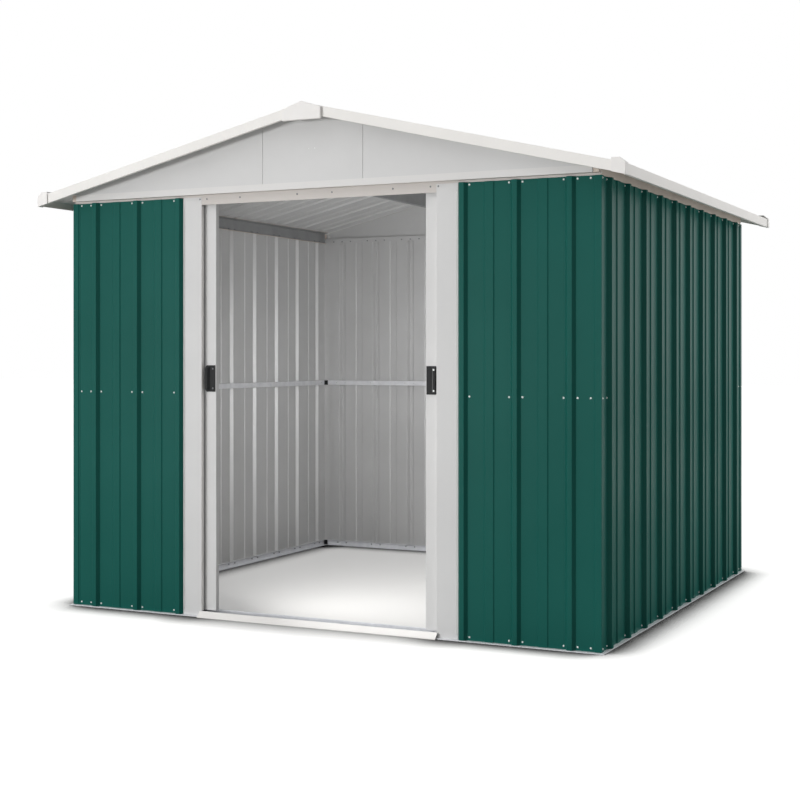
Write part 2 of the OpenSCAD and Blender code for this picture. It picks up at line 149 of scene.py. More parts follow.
finishes = {
    "greenPaint": {"dark": (20, 86, 78), "light": (25, 91, 83), "toneScale": 2.2,
                   "rough": (0.3, 0.38), "grainScale": 700, "grain": 0.06, "metal": 0.0, "specular": 0.1},
    "backCoat": {"dark": (203, 203, 203), "light": (211, 211, 211), "toneScale": 3.0,
                 "rough": (0.42, 0.5), "grainScale": 600, "grain": 0.06, "metal": 0.45, "specular": 0.5},
    # painted light: a lighter copy of backCoat for the underside of the roof
    "roofBack": {"dark": (224, 224, 224), "light": (231, 231, 231), "toneScale": 3.0,
                 "rough": (0.38, 0.46), "grainScale": 600, "grain": 0.06, "metal": 0.5, "specular": 0.5},
    # painted light: a lighter copy of whitePaint for the gable foot band and its end cheeks, lifted against
    # the shade they stand in
    "litBandWhite": {"dark": (220, 219, 218), "light": (227, 226, 225), "toneScale": 2.5,
                  "rough": (0.32, 0.44), "grainScale": 650, "grain": 0.08, "metal": 0.0, "specular": 0.35},
    "whitePaint": {"dark": (211, 211, 211), "light": (219, 219, 219), "toneScale": 2.5,
                   "rough": (0.32, 0.44), "grainScale": 650, "grain": 0.08, "metal": 0.0, "specular": 0.35},
    "brightWhite": {"dark": (243, 241, 238), "light": (249, 247, 244), "toneScale": 3.0,
                    "rough": (0.34, 0.46), "grainScale": 650, "grain": 0.06, "metal": 0.0, "specular": 0.35},
    "whitePlastic": {"dark": (243, 241, 239), "light": (248, 246, 244), "toneScale": 6.0,
                     "rough": (0.42, 0.52), "grainScale": 900, "grain": 0.12, "metal": 0.0, "specular": 0.5},
    # painted shade and bounce light: a darker, warmer copy of white paint for the header under the gable
    # band
    "shadeAndBounceWhite": {"dark": (203, 198, 194), "light": (210, 205, 201), "toneScale": 2.5,
                  "rough": (0.36, 0.46), "grainScale": 650, "grain": 0.08, "metal": 0.0, "specular": 0.35},
    # painted light: a warm, lighter copy of zinc for faces under the eaves and at the gable ends, standing
    # in for light bounced from the floor
    "warmZinc": {"dark": (212, 199, 188), "light": (224, 211, 200), "toneScale": 12.0,
                 "rough": (0.4, 0.5), "grainScale": 300, "grain": 0.06, "metal": 0.0, "specular": 0.4},
    "zinc": {"dark": (182, 183, 183), "light": (198, 199, 199), "toneScale": 18.0,
             "rough": (0.36, 0.5), "grainScale": 300, "grain": 0.06, "metal": 0.6, "specular": 0.5},
    # painted shade: a darker copy of zinc for the inside of the side rails and the roof beams, under the
    # roof
    "dullZinc": {"dark": (150, 151, 152), "light": (164, 165, 166), "toneScale": 14.0,
                 "rough": (0.4, 0.52), "grainScale": 300, "grain": 0.06, "metal": 0.4, "specular": 0.5},
    # painted light: a lighter copy of zinc for the floor rails and the middle rails
    "brightZinc": {"dark": (222, 223, 227), "light": (236, 237, 240), "toneScale": 30.0,
                   "rough": (0.3, 0.45), "grainScale": 300, "grain": 0.06, "metal": 0.0, "specular": 0.5},
    "blackPlastic": {"dark": (30, 31, 32), "light": (38, 39, 40), "toneScale": 12.0,
                     "rough": (0.42, 0.55), "grainScale": 1500, "grain": 0.3, "metal": 0.0, "specular": 0.3},
    "screwPaint": {"dark": (244, 248, 246), "light": (250, 252, 251), "toneScale": 60.0,
                   "rough": (0.3, 0.4), "grainScale": 900, "grain": 0.05, "metal": 0.0, "specular": 0.5},
    "screwSteel": {"dark": (120, 122, 124), "light": (160, 162, 164), "toneScale": 60.0,
                   "rough": (0.28, 0.4), "grainScale": 900, "grain": 0.05, "metal": 0.9, "specular": 0.5},
}
materials = {name: makeFinish(name, spec) for name, spec in finishes.items()}
print("finishes:", len(materials))


# hand tools

facing = 0.9           # a normal that reaches this far along an axis points along it
hair = 1e-4            # for picking faces and edges by their place
mouldedAngle = 40      # moulded pieces are smooth up to this angle


def selectOnly(obj):
    bpy.ops.object.select_all(action="DESELECT")
    obj.select_set(True)
    bpy.context.view_layer.objects.active = obj


# opens the mesh with only the items that pass the test selected
def openEdit(obj, mode="FACE", test=None):
    selectOnly(obj)
    bpy.ops.object.mode_set(mode="EDIT")
    bpy.ops.mesh.select_mode(type=mode)
    bpy.ops.mesh.select_all(action="SELECT" if test is None else "DESELECT")
    if test is not None:
        bpy.ops.object.mode_set(mode="OBJECT")
        mesh = obj.data
        for item in {"VERT": mesh.vertices, "EDGE": mesh.edges, "FACE": mesh.polygons}[mode]:
            item.select = test(item)
        bpy.ops.object.mode_set(mode="EDIT")


def closeEdit():
    bpy.ops.object.mode_set(mode="OBJECT")


def settle(obj, matrix=Matrix.Identity(4)):
    selectOnly(obj)
    obj.matrix_world = matrix @ obj.matrix_world
    bpy.ops.object.transform_apply(location=True, rotation=True, scale=True)
    return obj


def useModifier(obj, kind, **settings):
    selectOnly(obj)
    modifier = obj.modifiers.new(kind.lower(), kind)
    for key, value in settings.items():
        setattr(modifier, key, value)
    bpy.ops.object.modifier_apply(modifier=modifier.name)


# smooth over the rounded folds, while the flats between them stay flat
def smooth(obj, angle=32):
    selectOnly(obj)
    bpy.ops.object.shade_smooth_by_angle(angle=math.radians(angle))
    useModifier(obj, "WEIGHTED_NORMAL", mode="FACE_AREA", weight=100, keep_sharp=True)
    return obj


def coat(obj, *names):
    obj.data.materials.clear()
    for name in names:
        obj.data.materials.append(materials[name])
    return obj


def finished(obj, body, slot, *replaced):
    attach(obj, body)
    if replaced:
        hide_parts(*replaced)
    return obj


def joinPieces(name, parts):
    bpy.ops.object.select_all(action="DESELECT")
    for part in parts:
        part.select_set(True)
    bpy.context.view_layer.objects.active = parts[0]
    if len(parts) > 1:
        bpy.ops.object.join()
    parts[0].name = parts[0].data.name = name
    return parts[0]


def copyOf(obj, matrix):
    twin = obj.copy()
    twin.data = obj.data.copy()
    bpy.context.collection.objects.link(twin)
    twin.data.transform(matrix)
    return twin


# an open strip folded along a path of (x, z) points and run along y; it faces the left of the path
def makeStrip(name, path, y0, y1):
    bpy.ops.mesh.primitive_plane_add(size=1)
    obj = bpy.context.object
    obj.name = obj.data.name = name
    bpy.ops.object.mode_set(mode="EDIT")
    bpy.ops.mesh.select_all(action="SELECT")
    bpy.ops.transform.resize(value=(0, y1 - y0, 1))
    bpy.ops.mesh.remove_doubles(threshold=1e-6)
    bpy.ops.transform.translate(value=(path[0][0], (y0 + y1) / 2, path[0][1]))
    for (ax, az), (bx, bz) in zip(path, path[1:]):
        bpy.ops.mesh.extrude_edges_move(TRANSFORM_OT_translate={"value": (bx - ax, 0, bz - az)})
    closeEdit()
    (ax, az), (bx, bz) = path[:2]
    left = Vector((az - bz, 0, bx - ax))
    middle = Vector(((ax + bx) / 2, (y0 + y1) / 2, (az + bz) / 2))
    first = min(obj.data.polygons, key=lambda f: (f.center - middle).length)
    if first.normal.dot(left) < 0:
        openEdit(obj)
        bpy.ops.mesh.flip_normals()
        closeEdit()
    return obj


# cuts along a plane and drops what lies on the side that its normal points to
def cutAway(obj, point, normal, fill=False):
    openEdit(obj)
    bpy.ops.mesh.bisect(plane_co=point, plane_no=normal, clear_outer=True, use_fill=fill)
    closeEdit()
    return obj


# splits the faces along y = place, so that one end can be notched
def splitAt(obj, place):
    openEdit(obj)
    bpy.ops.mesh.bisect(plane_co=(0, place, 0), plane_no=(0, 1, 0))
    closeEdit()


def dropFaces(obj, test):
    openEdit(obj, "FACE", test)
    bpy.ops.mesh.delete(type="FACE")
    closeEdit()


# rounds the folds and gives the strip its thickness behind its face
def thicken(obj, spec, names=None, segments=2, rim=0):
    if names:
        coat(obj, *names)
    sides = {}
    for face in obj.data.polygons:
        for key in face.edge_keys:
            sides.setdefault(key, []).append(face.normal.copy())
    folds = {key for key, n in sides.items() if len(n) == 2 and n[0].angle(n[1], 0) > math.radians(5)}
    if folds:
        openEdit(obj, "EDGE", lambda e: tuple(sorted(e.vertices)) in folds)
        bpy.ops.mesh.bevel(offset=spec["bend"], segments=segments, affect="EDGES", clamp_overlap=True)
        closeEdit()
    useModifier(obj, "SOLIDIFY", thickness=spec["thick"], offset=-1, use_even_offset=True,
                material_offset=1, material_offset_rim=rim)
    return smooth(obj)


def foldSheet(name, path, y0, y1, spec, *names, segments=2, rim=0):
    return thicken(makeStrip(name, path, y0, y1), spec, names, segments, rim)


# a moulded or solid block with every edge rounded
def softBox(name, low, high, bend, finish, segments=2):
    middle = [(a + b) / 2 for a, b in zip(low, high)]
    bpy.ops.mesh.primitive_cube_add(size=1, location=middle)
    obj = bpy.context.object
    obj.name = obj.data.name = name
    obj.scale = [b - a for a, b in zip(low, high)]
    settle(obj)
    return roundEdges(coat(obj, finish), bend, segments)


# a plate cut to an outline of (x, z) points, y0 to y1 thick
def cutPlate(name, outline, y0, y1, finish):
    bpy.ops.mesh.primitive_plane_add(size=1)
    obj = bpy.context.object
    obj.name = obj.data.name = name
    bpy.ops.object.mode_set(mode="EDIT")
    bpy.ops.mesh.select_mode(type="VERT")
    bpy.ops.mesh.select_all(action="SELECT")
    bpy.ops.mesh.merge(type="CENTER")
    bpy.ops.transform.translate(value=(outline[0][0], y0, outline[0][1]))
    for (ax, az), (bx, bz) in zip(outline, outline[1:]):
        bpy.ops.mesh.extrude_vertices_move(TRANSFORM_OT_translate={"value": (bx - ax, 0, bz - az)})
    bpy.ops.mesh.select_all(action="SELECT")
    bpy.ops.mesh.edge_face_add()
    bpy.ops.mesh.extrude_region_move(TRANSFORM_OT_translate={"value": (0, y1 - y0, 0)})
    bpy.ops.mesh.select_all(action="SELECT")
    bpy.ops.mesh.normals_make_consistent(inside=False)
    closeEdit()
    return coat(obj, finish)


def roundEdges(obj, bend, segments=2, test=None):
    openEdit(obj, "EDGE", test)
    bpy.ops.mesh.bevel(offset=bend, segments=segments, affect="EDGES", clamp_overlap=True)
    closeEdit()
    return smooth(obj, mouldedAngle)


def turned(axis, degrees):
    return Matrix.Rotation(math.radians(degrees), 4, axis)


halfTurn = turned("Z", 180)
wallTurn = {"front": 0, "right": 90, "rear": 180, "left": -90}


# half the length of a wall, and how far the wall stands from the middle
def wallReach(wall):
    return (halfW, halfD) if wall in ("front", "rear") else (halfD, halfW)


# walls: x runs along the wall, y is up and z points outwards
def wallMatrix(wall):
    away = wallReach(wall)[1]
    return turned("Z", wallTurn[wall]) @ Matrix.Translation((0, -away, 0)) @ turned("X", 90)


# rails: x points out of the wall, y runs along it and z is up
def railMatrix(wall):
    away = wallReach(wall)[1]
    return turned("Z", wallTurn[wall]) @ Matrix.Translation((0, -away, 0)) @ turned("Z", -90)


# slopes: x runs along the ridge, y up the slope and z out of the roof
def slopeMatrix(side):
    half = Matrix.Identity(4) if side == "right" else halfTurn
    return half @ Matrix.Translation((0, 0, ridgeZ)) @ Matrix.Rotation(slopeAngle, 4, "Y") @ turned("Z", 90)


# ribbed sheets

# centres of the main ribs (even steps) and of the shallow bands between them (odd steps)
def ribPlaces(u0, u1, start, limit):
    s = sheetSpec
    step = s["ribPitch"] / 2
    low, high = u0 - s["footCut"], u1 + s["footCut"]
    places = []
    for k in range(math.ceil((u0 - start) / step), math.floor((u1 - start) / step) + 1):
        centre = start + k * step
        half = (s["ribFoot"] if k % 2 == 0 else s["bandFoot"]) / 2
        if centre - half > low and centre + half < high and abs(centre) + half < limit:
            places.append((centre, k % 2 == 0))
    return places


def ribbedPath(u0, u1, start, limit):
    s = sheetSpec
    points = [(u0, 0)]
    for centre, main in ribPlaces(u0, u1, start, limit):
        foot = s["ribFoot"] if main else s["bandFoot"]
        top = s["ribTop"] if main else s["bandFoot"] - 2 * s["bandHeight"]
        height = s["ribHeight"] if main else s["bandHeight"]
        points += [(centre - foot / 2, 0), (centre - top / 2, height),
                   (centre + top / 2, height), (centre + foot / 2, 0)]
    inner = [(u, z) for u, z in points[1:] if u0 < u < u1]
    return points[:1] + inner + [(u1, 0)]


def boxSpan(node, axis, sign=1):
    ends = sorted(sign * corner[axis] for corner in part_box(node))
    return ends[0], ends[1]


wallSheets = {
    "front_panel_left": ("front", (-halfW, -panelEnd), 0, halfW),
    "front_panel_right": ("front", (panelEnd, halfW), 0, halfW),
    "rear_wall_left": ("rear", boxSpan("rear_wall_left", 0, -1), 0, halfW),
    "rear_wall_right": ("rear", boxSpan("rear_wall_right", 0, -1), 0, halfW),
    "right_wall_front": ("right", boxSpan("right_wall_front", 1), sideStart, halfD),
    "right_wall_rear": ("right", boxSpan("right_wall_rear", 1), sideStart, halfD),
    "left_wall_rear": ("left", boxSpan("left_wall_rear", 1, -1), sideStart, halfD),
    "left_wall_front": ("left", boxSpan("left_wall_front", 1, -1), sideStart, halfD),
}


def makeWallSheets():
    for node, (wall, (u0, u1), start, corner) in wallSheets.items():
        path = ribbedPath(u0, u1, start, corner - sheetSpec["cornerClear"])
        obj = foldSheet("ribbed_" + node, path, wallFoot, wallTop, sheetSpec, "greenPaint", "backCoat")
        finished(settle(obj, wallMatrix(wall)), "root", "green_wall_sheet", node)
    print("wall sheets:", len(wallSheets))


roofSpec = {"edgeIn": 0.0015, "ribClear": 0.026}     # from the trims to the edge of a sheet and to its ribs
roofEnd = vergeY - roofSpec["edgeIn"]
roofSheets = {
    "roof_right_front": ("right", -roofEnd, sideSeam),
    "roof_right_rear": ("right", sideSeam + frameSpec["gap"], roofEnd),
    "roof_left_rear": ("left", -roofEnd, sideSeam),
    "roof_left_front": ("left", sideSeam + frameSpec["gap"], roofEnd),
}


def makeRoofSheets():
    s0 = (-roofFlat + sheetSpec["thick"]) * math.tan(slopeAngle) + frameSpec["gap"]
    s1 = slopeLength - roofSpec["edgeIn"] - math.sin(slopeAngle) * trimHeight / 2
    for node, (side, u0, u1) in roofSheets.items():
        path = [(u, z + roofFlat) for u, z in ribbedPath(u0, u1, sideStart, vergeY - roofSpec["ribClear"])]
        # the underside is in the lighter back coat, a painted light
        obj = foldSheet("ribbed_" + node, path, -s1, -s0, sheetSpec, "greenPaint", "roofBack")
        finished(settle(obj, slopeMatrix(side)), "root", "green_roof_sheet", node)
    print("roof sheets:", len(roofSheets))


cornerTrim = {"proud": 0.004, "width": 0.023, "foot": 0.004}


# the raised angle over a corner, drawn around the corner itself
def makeCornerTrims():
    proud, width, foot = cornerTrim["proud"], cornerTrim["width"], cornerTrim["foot"]
    lap = sheetSpec["thick"]
    half = [(-width - foot, lap), (-width, lap), (-width + proud - lap, proud)]
    path = half + [(proud, proud)] + [(z, x) for x, z in reversed(half)]
    corners = [(halfW, -halfD, 0), (halfW, halfD, 90), (-halfW, halfD, 180), (-halfW, -halfD, 270)]
    parts = []
    for x, y, degrees in corners:
        part = foldSheet("trim", path, wallFoot, wallTop, sheetSpec, "greenPaint", "backCoat", segments=3)
        parts.append(settle(part, Matrix.Translation((x, y, 0)) @ turned("Z", degrees) @ turned("X", 90)))
    finished(joinPieces("folded_corner_trims", parts), "root", "green_wall_sheet", "corner_trims")


makeWallSheets()
makeRoofSheets()
makeCornerTrims()

# floor rails and ramp

floorRail = {
    "footOut": 0.016,
    "footHeight": 0.004,
    "footEdge": 0.0009,    # rounding of the foot, which starts this far behind the wall
    "returnIn": 0.0005,
    "depth": 0.022,
    "frontDepth": 0.060,
    "webHeight": 0.026,
    "frontWebHeight": 0.022,
    "topFold": 0.008,
    "guideHeight": 0.016,
    "guideInset": 0.0326,
}


def makeFloorRail(wall, y0, y1, node, front=False):
    r, thick = floorRail, frameSpec["thick"]
    depth = r["frontDepth"] if front else r["depth"]
    high, edge = r["footHeight"], r["footEdge"]
    face, inner = -sheetSpec["thick"], -innerFace
    # every part is in the lighter zinc, a painted light
    parts = [softBox("foot", (-edge, y0, 0), (r["footOut"], y1, high), edge, "brightZinc")]
    if wall in ("front", "rear"):
        for sign in (-1, 1):
            e0, e1 = sorted((sign * (halfW - edge), sign * footEnd))
            parts.append(softBox("return", (-depth, e0, 0), (-r["returnIn"], e1, high), edge, "brightZinc"))
    end = halfW - innerFace - (0 if front else frameSpec["gap"])
    w0, w1 = (-end, end) if wall in ("front", "rear") else (y0, y1)
    if front:
        base = [(face, 0), (-depth, 0), (-depth, r["frontWebHeight"])]
        parts.append(foldSheet("base", base, w0, w1, frameSpec, "brightZinc"))
        for x, top in ((inner, r["frontWebHeight"]), (-r["guideInset"], r["guideHeight"])):
            parts.append(foldSheet("web", [(x, thick), (x, top)], w0, w1, frameSpec, "brightZinc"))
    else:
        parts.append(foldSheet("base", [(face, 0), (-depth, 0)], y0, y1, frameSpec, "brightZinc"))
        top = r["webHeight"]
        path = [(inner - r["topFold"], top), (face, top), (face, thick)]
        parts.append(foldSheet("web", path, w0, w1, frameSpec, "brightZinc"))
    obj = settle(joinPieces("folded_" + node, parts), railMatrix(wall))
    finished(obj, "root", "galvanised_frame", node)


footEnd = halfW + floorRail["footOut"]
railFront = halfD - floorRail["frontDepth"] - frameSpec["gap"]
railRear = halfD - floorRail["depth"] - frameSpec["gap"]
makeFloorRail("front", -footEnd, footEnd, "floor_rail_front", front=True)
makeFloorRail("rear", -footEnd, footEnd, "floor_rail_rear")
makeFloorRail("right", -railFront, railRear, "floor_rail_right")
makeFloorRail("left", -railRear, railFront, "floor_rail_left")

ramp = {"thick": 0.0015, "bend": 0.0008, "depth": 0.025, "high": 0.022, "lip": 0.003, "over": 0.006,
        "backFold": 0.006, "crest": 0.004}
jambIn = Vector(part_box("door_jamb_right")[0]).x


def makeRamp():
    gap, high = frameSpec["gap"], ramp["high"]
    end = jambIn + ramp["over"]
    path = [(gap, high - ramp["backFold"]), (gap, high), (gap + ramp["crest"], high),
            (ramp["depth"], ramp["lip"]), (ramp["depth"], 0)]
    obj = foldSheet("folded_threshold_ramp", path, -end, end, ramp, "brightWhite")
    finished(settle(obj, railMatrix("front")), "root", "bright_ramp", "threshold_ramp")


makeRamp()
print("base: 4 rails and a ramp")

# jambs, top rails, door track and middle rails

jamb = {"thick": 0.001, "bend": 0.0014, "joggle": 0.0006, "lap": 0.015, "fold": 0.015,
        "notchLow": 0.0226, "notchHigh": 0.0006}
headerZ = Vector(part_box("front_top_rail")[0]).z


def makeJamb(node, side):
    j = jamb
    step = panelEnd - j["joggle"] - j["thick"]
    path = [(-panelEnd - j["lap"], -j["thick"]), (-panelEnd + j["joggle"], -j["thick"]), (-step, 0),
            (-jambIn, 0), (-jambIn, -j["fold"])]
    if side == "right":
        path = [(-x, z) for x, z in reversed(path)]
    strip = makeStrip("folded_" + node, path, wallFoot, wallTop)
    low, high = j["notchLow"], headerZ - j["notchHigh"]
    splitAt(strip, low)
    splitAt(strip, high)
    # above and below the doorway only the face goes on
    dropFaces(strip, lambda f: not (low < f.center.y < high) and not (jambIn < abs(f.center.x) < step))
    # the fold beside the leaf is painted the brighter white of the trims, a painted highlight for the light
    # of the doorway
    openEdit(strip, "FACE", lambda f: abs(f.normal.x) > facing and f.center.z < -j["thick"]
             and low < f.center.y < high)
    coat(strip, "whitePaint", "brightWhite")
    strip.active_material_index = 1
    bpy.ops.object.material_slot_assign()
    closeEdit()
    obj = thicken(strip, jamb)
    finished(settle(obj, wallMatrix("front")), "root", "white_frame", node)


makeJamb("door_jamb_left", "left")
makeJamb("door_jamb_right", "right")

gableSpec = {
    "rise": 0.008,         # from the top of the wall sheets to the foot of the gable
    "band": 0.026,
    "out": 0.020,
    "inset": 0.024,
    "seam": 0.215,         # from the middle to each joint of the three sheets
    "halfGap": 0.00015,    # half of the gap at a joint
    "thick": 0.001,
    "bend": 0.0022,
    "return": 0.008,
    "endStep": 0.004,      # the end plates stand this far behind the band
    "endGap": 0.001,
    "plateEdge": 0.0003,
}
gableBase = wallTop + gableSpec["rise"]
gableBottom = gableBase + frameSpec["thick"]
gableFace = gableSpec["out"] - frameSpec["thick"]
gableEnd = halfW - gableSpec["inset"]
railLow = Vector(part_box("rear_top_rail")[0]).z


# header and gable foot in one folded strip, with a set-back plate and its return at each end
def makeEndRail(wall, low, node):
    g, thick, inner = gableSpec, frameSpec["thick"], -innerFace
    webEnd = halfW - innerFace - frameSpec["gap"]
    top = gableBase + g["band"]
    front = gableFace - g["endStep"]
    path = [(inner, low), (inner, gableBottom), (gableFace, gableBottom), (gableFace, top)]
    strip = makeStrip(node, path, -webEnd, webEnd)
    splitAt(strip, -gableEnd)
    splitAt(strip, gableEnd)
    dropFaces(strip, lambda f: abs(f.center.y) > gableEnd and f.center.x > inner / 2)
    # the header is painted a darker, warmer white than the band over it, as painted shade under the band
    # with warm light bounced from the floor, and the band is painted lighter, as painted light; both are
    # bare on the inside
    openEdit(strip, "FACE", lambda f: f.center.x > gableFace - hair)
    coat(strip, "backCoat", "shadeAndBounceWhite", "litBandWhite", "litBandWhite")
    strip.active_material_index = 2
    bpy.ops.object.material_slot_assign()
    closeEdit()
    parts = [thicken(strip, frameSpec, rim=1)]
    for sign in (-1, 1):
        y0, y1 = sorted((sign * (gableEnd + g["endGap"]), sign * webEnd))
        plate = [(inner, gableBottom), (front, gableBottom), (front, top)]
        # the outside of each end plate is in the warm zinc of painted bounce light
        parts.append(foldSheet("end", plate, y0, y1, frameSpec, "backCoat", "warmZinc", rim=1))
        # each return is painted in the floor's bounced light, and each cheek in the lighter white, as
        # painted light on faces in shade
        for name, end, x, finish in (("return", webEnd, front, "warmZinc"),
                                     ("cheek", gableEnd, gableFace, "litBandWhite")):
            y0, y1 = sorted((sign * (end - thick), sign * end))
            parts.append(softBox(name, (inner, y0, gableBottom), (x, y1, top), g["plateEdge"], finish))
    obj = settle(joinPieces("folded_" + node, parts), railMatrix(wall))
    finished(obj, "root", "white_frame", node)


makeEndRail("front", headerZ, "front_top_rail")
makeEndRail("rear", railLow, "rear_top_rail")

sideRail = {"flange": 0.022, "lowFold": 0.008}


def makeSideRail(wall, node):
    face = -sheetSpec["thick"]
    top = roofUnder(halfW - sheetSpec["thick"]) - frameSpec["gap"] / 2
    flange = sideRail["flange"]
    end = halfD - innerFace - frameSpec["gap"]
    path = [(face - flange, top + flange * roofSlope), (face, top), (face, railLow),
            (-innerFace - sideRail["lowFold"], railLow)]
    # outside, the rail is painted in the floor's warm bounced light, and inside in painted shade
    obj = foldSheet("folded_" + node, path, -end, end, frameSpec, "warmZinc", "dullZinc")
    finished(settle(obj, railMatrix(wall)), "root", "galvanised_frame", node)


makeSideRail("right", "right_top_rail")
makeSideRail("left", "left_top_rail")

track = {"frontFlange": 0.024, "back": 0.045, "front": 0.019, "slotBack": 0.037, "slotFront": 0.027}


def makeTrack():
    trackLow, trackHigh = (Vector(p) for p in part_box("door_track_top"))
    t = frameSpec["thick"]
    low, top, end = trackLow.z, trackHigh.z, trackHigh.x
    front, back = -innerFace - t, -track["back"] + t
    channel = [(front, top - track["frontFlange"]), (front, top - t), (back, top - t), (back, low + t),
               (-track["slotBack"], low + t)]
    lip = [(-track["front"], top - t), (-track["front"], low), (-track["slotFront"], low)]
    parts = [foldSheet("channel", channel, -end, end, frameSpec, "zinc"),
             foldSheet("lip", lip, -end, end, frameSpec, "zinc")]
    obj = settle(joinPieces("folded_door_track_top", parts), railMatrix("front"))
    finished(obj, "root", "galvanised_frame", "door_track_top")


makeTrack()

midLow, midHigh = (Vector(p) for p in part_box("mid_rail_rear"))
midRail = {
    "depth": 0.014,
    "frontIn": 0.016,      # from the doorway end of a front panel to the rail behind it
}


def makeMidRail(node, runs):
    face = -sheetSpec["thick"]
    back = face - midRail["depth"]
    path = [(face, midLow.z), (back, midLow.z), (back, midHigh.z), (face, midHigh.z)]
    # the rails are in the lighter zinc, a painted light
    parts = [settle(foldSheet("rail", path, y0, y1, frameSpec, "brightZinc"), railMatrix(wall))
             for wall, y0, y1 in runs]
    finished(joinPieces("folded_" + node, parts), "root", "galvanised_frame", node)


makeMidRail("mid_rail_rear", [("rear", *boxSpan("mid_rail_rear", 0, -1))])
makeMidRail("mid_rail_right", [("right", *boxSpan("mid_rail_right", 1))])
makeMidRail("mid_rail_left", [("left", *boxSpan("mid_rail_left", 1, -1))])
frontRailEnd = halfW - sheetSpec["thick"] - midRail["depth"] - frameSpec["gap"]
frontRailStart = panelEnd + midRail["frontIn"]
makeMidRail("mid_rails_front", [("front", -frontRailEnd, -frontRailStart),
                                ("front", frontRailStart, frontRailEnd)])

connector = {"leg": 0.014, "thick": 0.002, "edge": 0.0005, "foot": 0.0022}


# small moulded angles in the two rear corners
def makeConnectors():
    c = connector
    levels = [(sheetSpec["thick"] + midRail["depth"], midLow.z, midHigh.z),
              (innerFace + floorRail["topFold"], c["foot"], floorRail["webHeight"])]
    parts = []
    for sign in (-1, 1):
        for inset, z0, z1 in levels:
            x, y = halfW - inset, halfD - inset
            angle = [(0, 0), (-c["leg"], 0), (-c["leg"], c["thick"]), (-c["thick"], c["thick"]),
                     (-c["thick"], c["leg"]), (0, c["leg"])]
            outline = [(sign * (x + a), -y + b) for a, b in angle]
            part = roundEdges(cutPlate("angle", outline, z0, z1, "blackPlastic"), c["edge"])
            parts.append(settle(part, turned("X", 90)))
    finished(joinPieces("moulded_rail_connectors", parts), "root", "dark_moulding", "rail_connectors")


makeConnectors()
print("frame: jambs, rails, track and connectors")

# gables

seamIn = gableSpec["seam"] - gableSpec["halfGap"]
seamOut = gableSpec["seam"] + gableSpec["halfGap"]
gables = {"left": (-gableEnd, -seamOut), "centre": (-seamIn, seamIn), "right": (seamOut, gableEnd)}


def makeGable(end, part):
    x0, x1 = gables[part]
    if end == "rear":
        x0, x1 = -x1, -x0
    back = gableSpec["return"]
    path = [(x0, gableFace), (x1, gableFace)]
    if x0 > -gableEnd:
        path = [(x0, gableFace - back)] + path
    if x1 < gableEnd:
        path = path + [(x1, gableFace - back)]
    node = "gable_%s_%s" % (end, part)
    strip = makeStrip("folded_" + node, path, gableBottom, ridgeZ)
    apex = (0, roofUnder(0) - frameSpec["gap"], 0)
    for side in (-1, 1):
        cutAway(strip, apex, (side * math.sin(slopeAngle), math.cos(slopeAngle), 0))
    obj = thicken(strip, gableSpec, ["whitePaint", "backCoat"], rim=1)
    finished(settle(obj, wallMatrix(end)), "root", "white_gable_sheet", node)


for end in ("front", "rear"):
    for part in gables:
        makeGable(end, part)

# roof beams, ridge, verges and eaves

beamLow, beamHigh = (Vector(p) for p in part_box("roof_beam_right"))
beam = {"height": 0.067, "lip": 0.008}


def makeBeams():
    x0, x1 = beamLow.x, beamHigh.x
    top = roofUnder(x0) - frameSpec["gap"]
    low = top - beam["height"]
    path = [(x1, low + beam["lip"]), (x1, low), (x0, low), (x0, top), (x1, top - (x1 - x0) * roofSlope)]
    for node, matrix in (("roof_beam_right", Matrix.Identity(4)), ("roof_beam_left", halfTurn)):
        # the beams are in the darker zinc, a painted shade
        obj = foldSheet("folded_" + node, path, beamLow.y, beamHigh.y, frameSpec, "dullZinc")
        finished(settle(obj, matrix), "root", "galvanised_frame", node)


makeBeams()

trim = {"thick": 0.0012, "bend": 0.0016, "lip": 0.026, "lowFold": 0.012}
ridgeBend = 0.006


def makeRidgeCap():
    low, high = (Vector(p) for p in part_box("ridge_cap"))
    path = [(low.x, roofTop(low.x)), (0, ridgeZ), (high.x, roofTop(high.x))]
    ridge = dict(trim, bend=ridgeBend)
    obj = foldSheet("folded_ridge_cap", path, low.y, high.y, ridge, "brightWhite", segments=4)
    finished(settle(obj), "root", "white_roof_trim", "ridge_cap")


def makeFascias():
    low = -trimHeight * math.cos(slopeAngle)
    s0 = -low * math.tan(slopeAngle) + frameSpec["gap"]
    s1 = slopeLength - trimHeight * math.sin(slopeAngle)
    near = [(-vergeY + trim["lowFold"], low), (-vergeY, low), (-vergeY, 0), (-vergeY + trim["lip"], 0)]
    far = [(-x, z) for x, z in reversed(near)]
    for node, pairs in (("fascia_front", (("right", near), ("left", far))),
                        ("fascia_rear", (("right", far), ("left", near)))):
        parts = []
        for side, path in pairs:
            part = foldSheet("fascia", path, -s1, -s0, trim, "brightWhite", segments=3)
            parts.append(settle(part, slopeMatrix(side)))
        finished(joinPieces("folded_" + node, parts), "root", "white_roof_trim", node)


def makeEaveTrims():
    low = eaveZ - trimHeight
    path = [(eaveX - trim["lip"], eaveZ + trim["lip"] * roofSlope), (eaveX, eaveZ), (eaveX, low),
            (eaveX - trim["lowFold"], low)]
    parts = [settle(foldSheet("eave", path, trimLow.y, trimHigh.y, trim, "brightWhite", segments=3), matrix)
             for matrix in (Matrix.Identity(4), halfTurn)]
    finished(joinPieces("folded_eave_trims", parts), "root", "white_roof_trim", "eave_trims")


ridgeCover = {"halfWidth": 0.082, "low": 0.066, "side": 0.022, "rise": 0.004, "depth": 0.012,
              "edge": 0.0028, "hood": 0.55, "hoodBack": 0.052, "hoodInto": 0.001}


